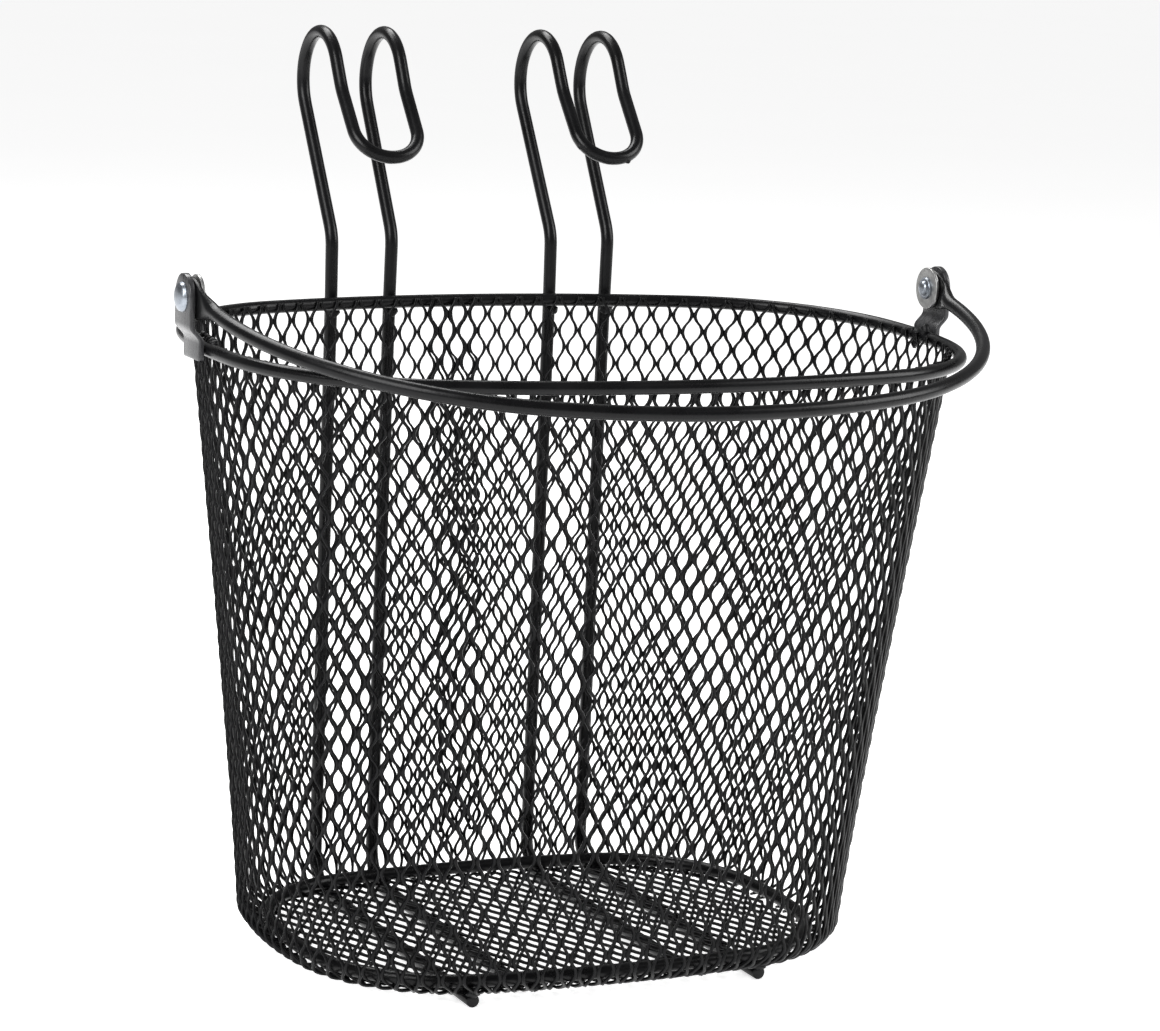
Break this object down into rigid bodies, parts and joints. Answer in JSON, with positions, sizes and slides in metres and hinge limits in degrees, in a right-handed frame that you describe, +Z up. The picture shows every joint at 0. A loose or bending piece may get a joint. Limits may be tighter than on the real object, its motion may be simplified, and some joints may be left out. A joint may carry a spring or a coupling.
{
  "type": "handlebar basket",
  "caption": "Open expanded-metal basket that hangs on a bicycle's handlebar by two wire hooks and is carried by a folding bail handle.",
  "frame": {"origin": "on the plane the basket stands on, straight below the middle of the rim", "axes": "+Z up out of the basket's mouth; +Y from the basket towards the hooks and the handlebar; +X along the rim's long way, parallel to the handlebar"},
  "size_m": [0.3736, 0.3219, 0.4082],
  "materials": {
    "black_wire": "satin black powder coat on steel wire",
    "black_mesh": "satin black powder coat on expanded steel mesh",
    "bracket_face": "gloss black coat on a steel plate, faintly rippled",
    "zinc_rivet": "zinc-plated dome",
    "washer_face": "pale zinc plate, slightly dull"
  },
  "bodies": {
    "basket": {"rim_wire": "black_wire", "base_ring": "black_wire", "hook_left": "black_wire", "hook_right": "black_wire", "side_mesh": "black_mesh", "floor_mesh": "black_mesh", "bracket_left": "bracket_face", "bracket_right": "bracket_face", "pivot_rivet_left": "zinc_rivet", "pivot_rivet_right": "zinc_rivet", "washer_left": "washer_face", "washer_right": "washer_face"},
    "handle": {"handle": "black_wire"}
  },
  "joints": [
    {"name": "handle_fold", "type": "hinge", "parent": "basket", "child": "handle", "pos_m": [0, 0, 0.3015], "axis": [-1, 0, 0], "range_deg": [-6, 149]}
  ]
}
